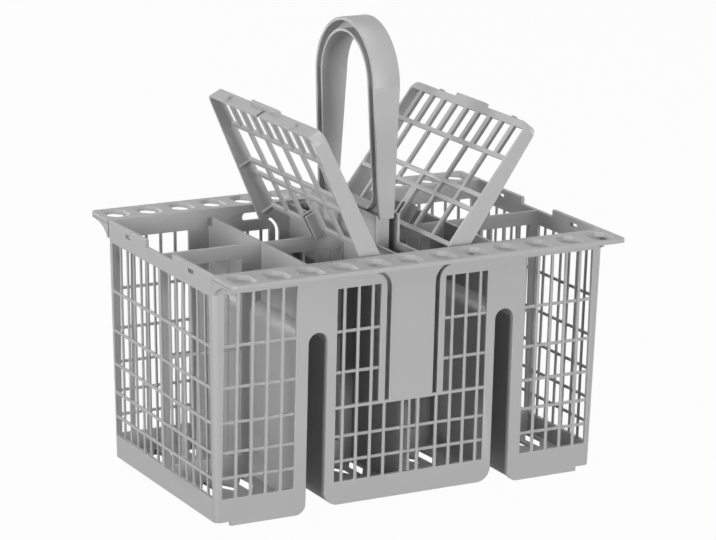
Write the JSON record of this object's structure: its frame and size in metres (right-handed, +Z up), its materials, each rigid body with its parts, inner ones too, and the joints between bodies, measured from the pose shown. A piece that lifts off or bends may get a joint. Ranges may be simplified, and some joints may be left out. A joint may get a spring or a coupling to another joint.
{
  "type": "dishwasher cutlery basket",
  "caption": "Free-standing cutlery basket with open grid walls, pockets parted by arched channels, side flanges with drain holes, a clipped-in loop handle and hinged grid lids.",
  "frame": {"origin": "middle of the base, on the plane of the feet", "axes": "+X along the basket's length, towards the right-hand lid; +Y from the front wall to the back wall; +Z up"},
  "size_m": [0.24, 0.183, 0.257],
  "materials": {
    "grey_plastic": "satin moulded grey polypropylene"
  },
  "bodies": {
    "basket": {"basket_body": "grey_plastic", "handle": "grey_plastic"},
    "left_lid": {"left_lid": "grey_plastic"},
    "right_lid": {"right_lid": "grey_plastic"}
  },
  "joints": [
    {"name": "left_lid_hinge", "type": "hinge", "parent": "basket", "child": "left_lid", "pos_m": [-0.0248, 0, 0.133], "axis": [0, 1, 0], "range_deg": [-63.2, 30.8]},
    {"name": "right_lid_hinge", "type": "hinge", "parent": "basket", "child": "right_lid", "pos_m": [0.0287, 0, 0.133], "axis": [0, -1, 0], "range_deg": [-52.8, 41.2]}
  ]
}
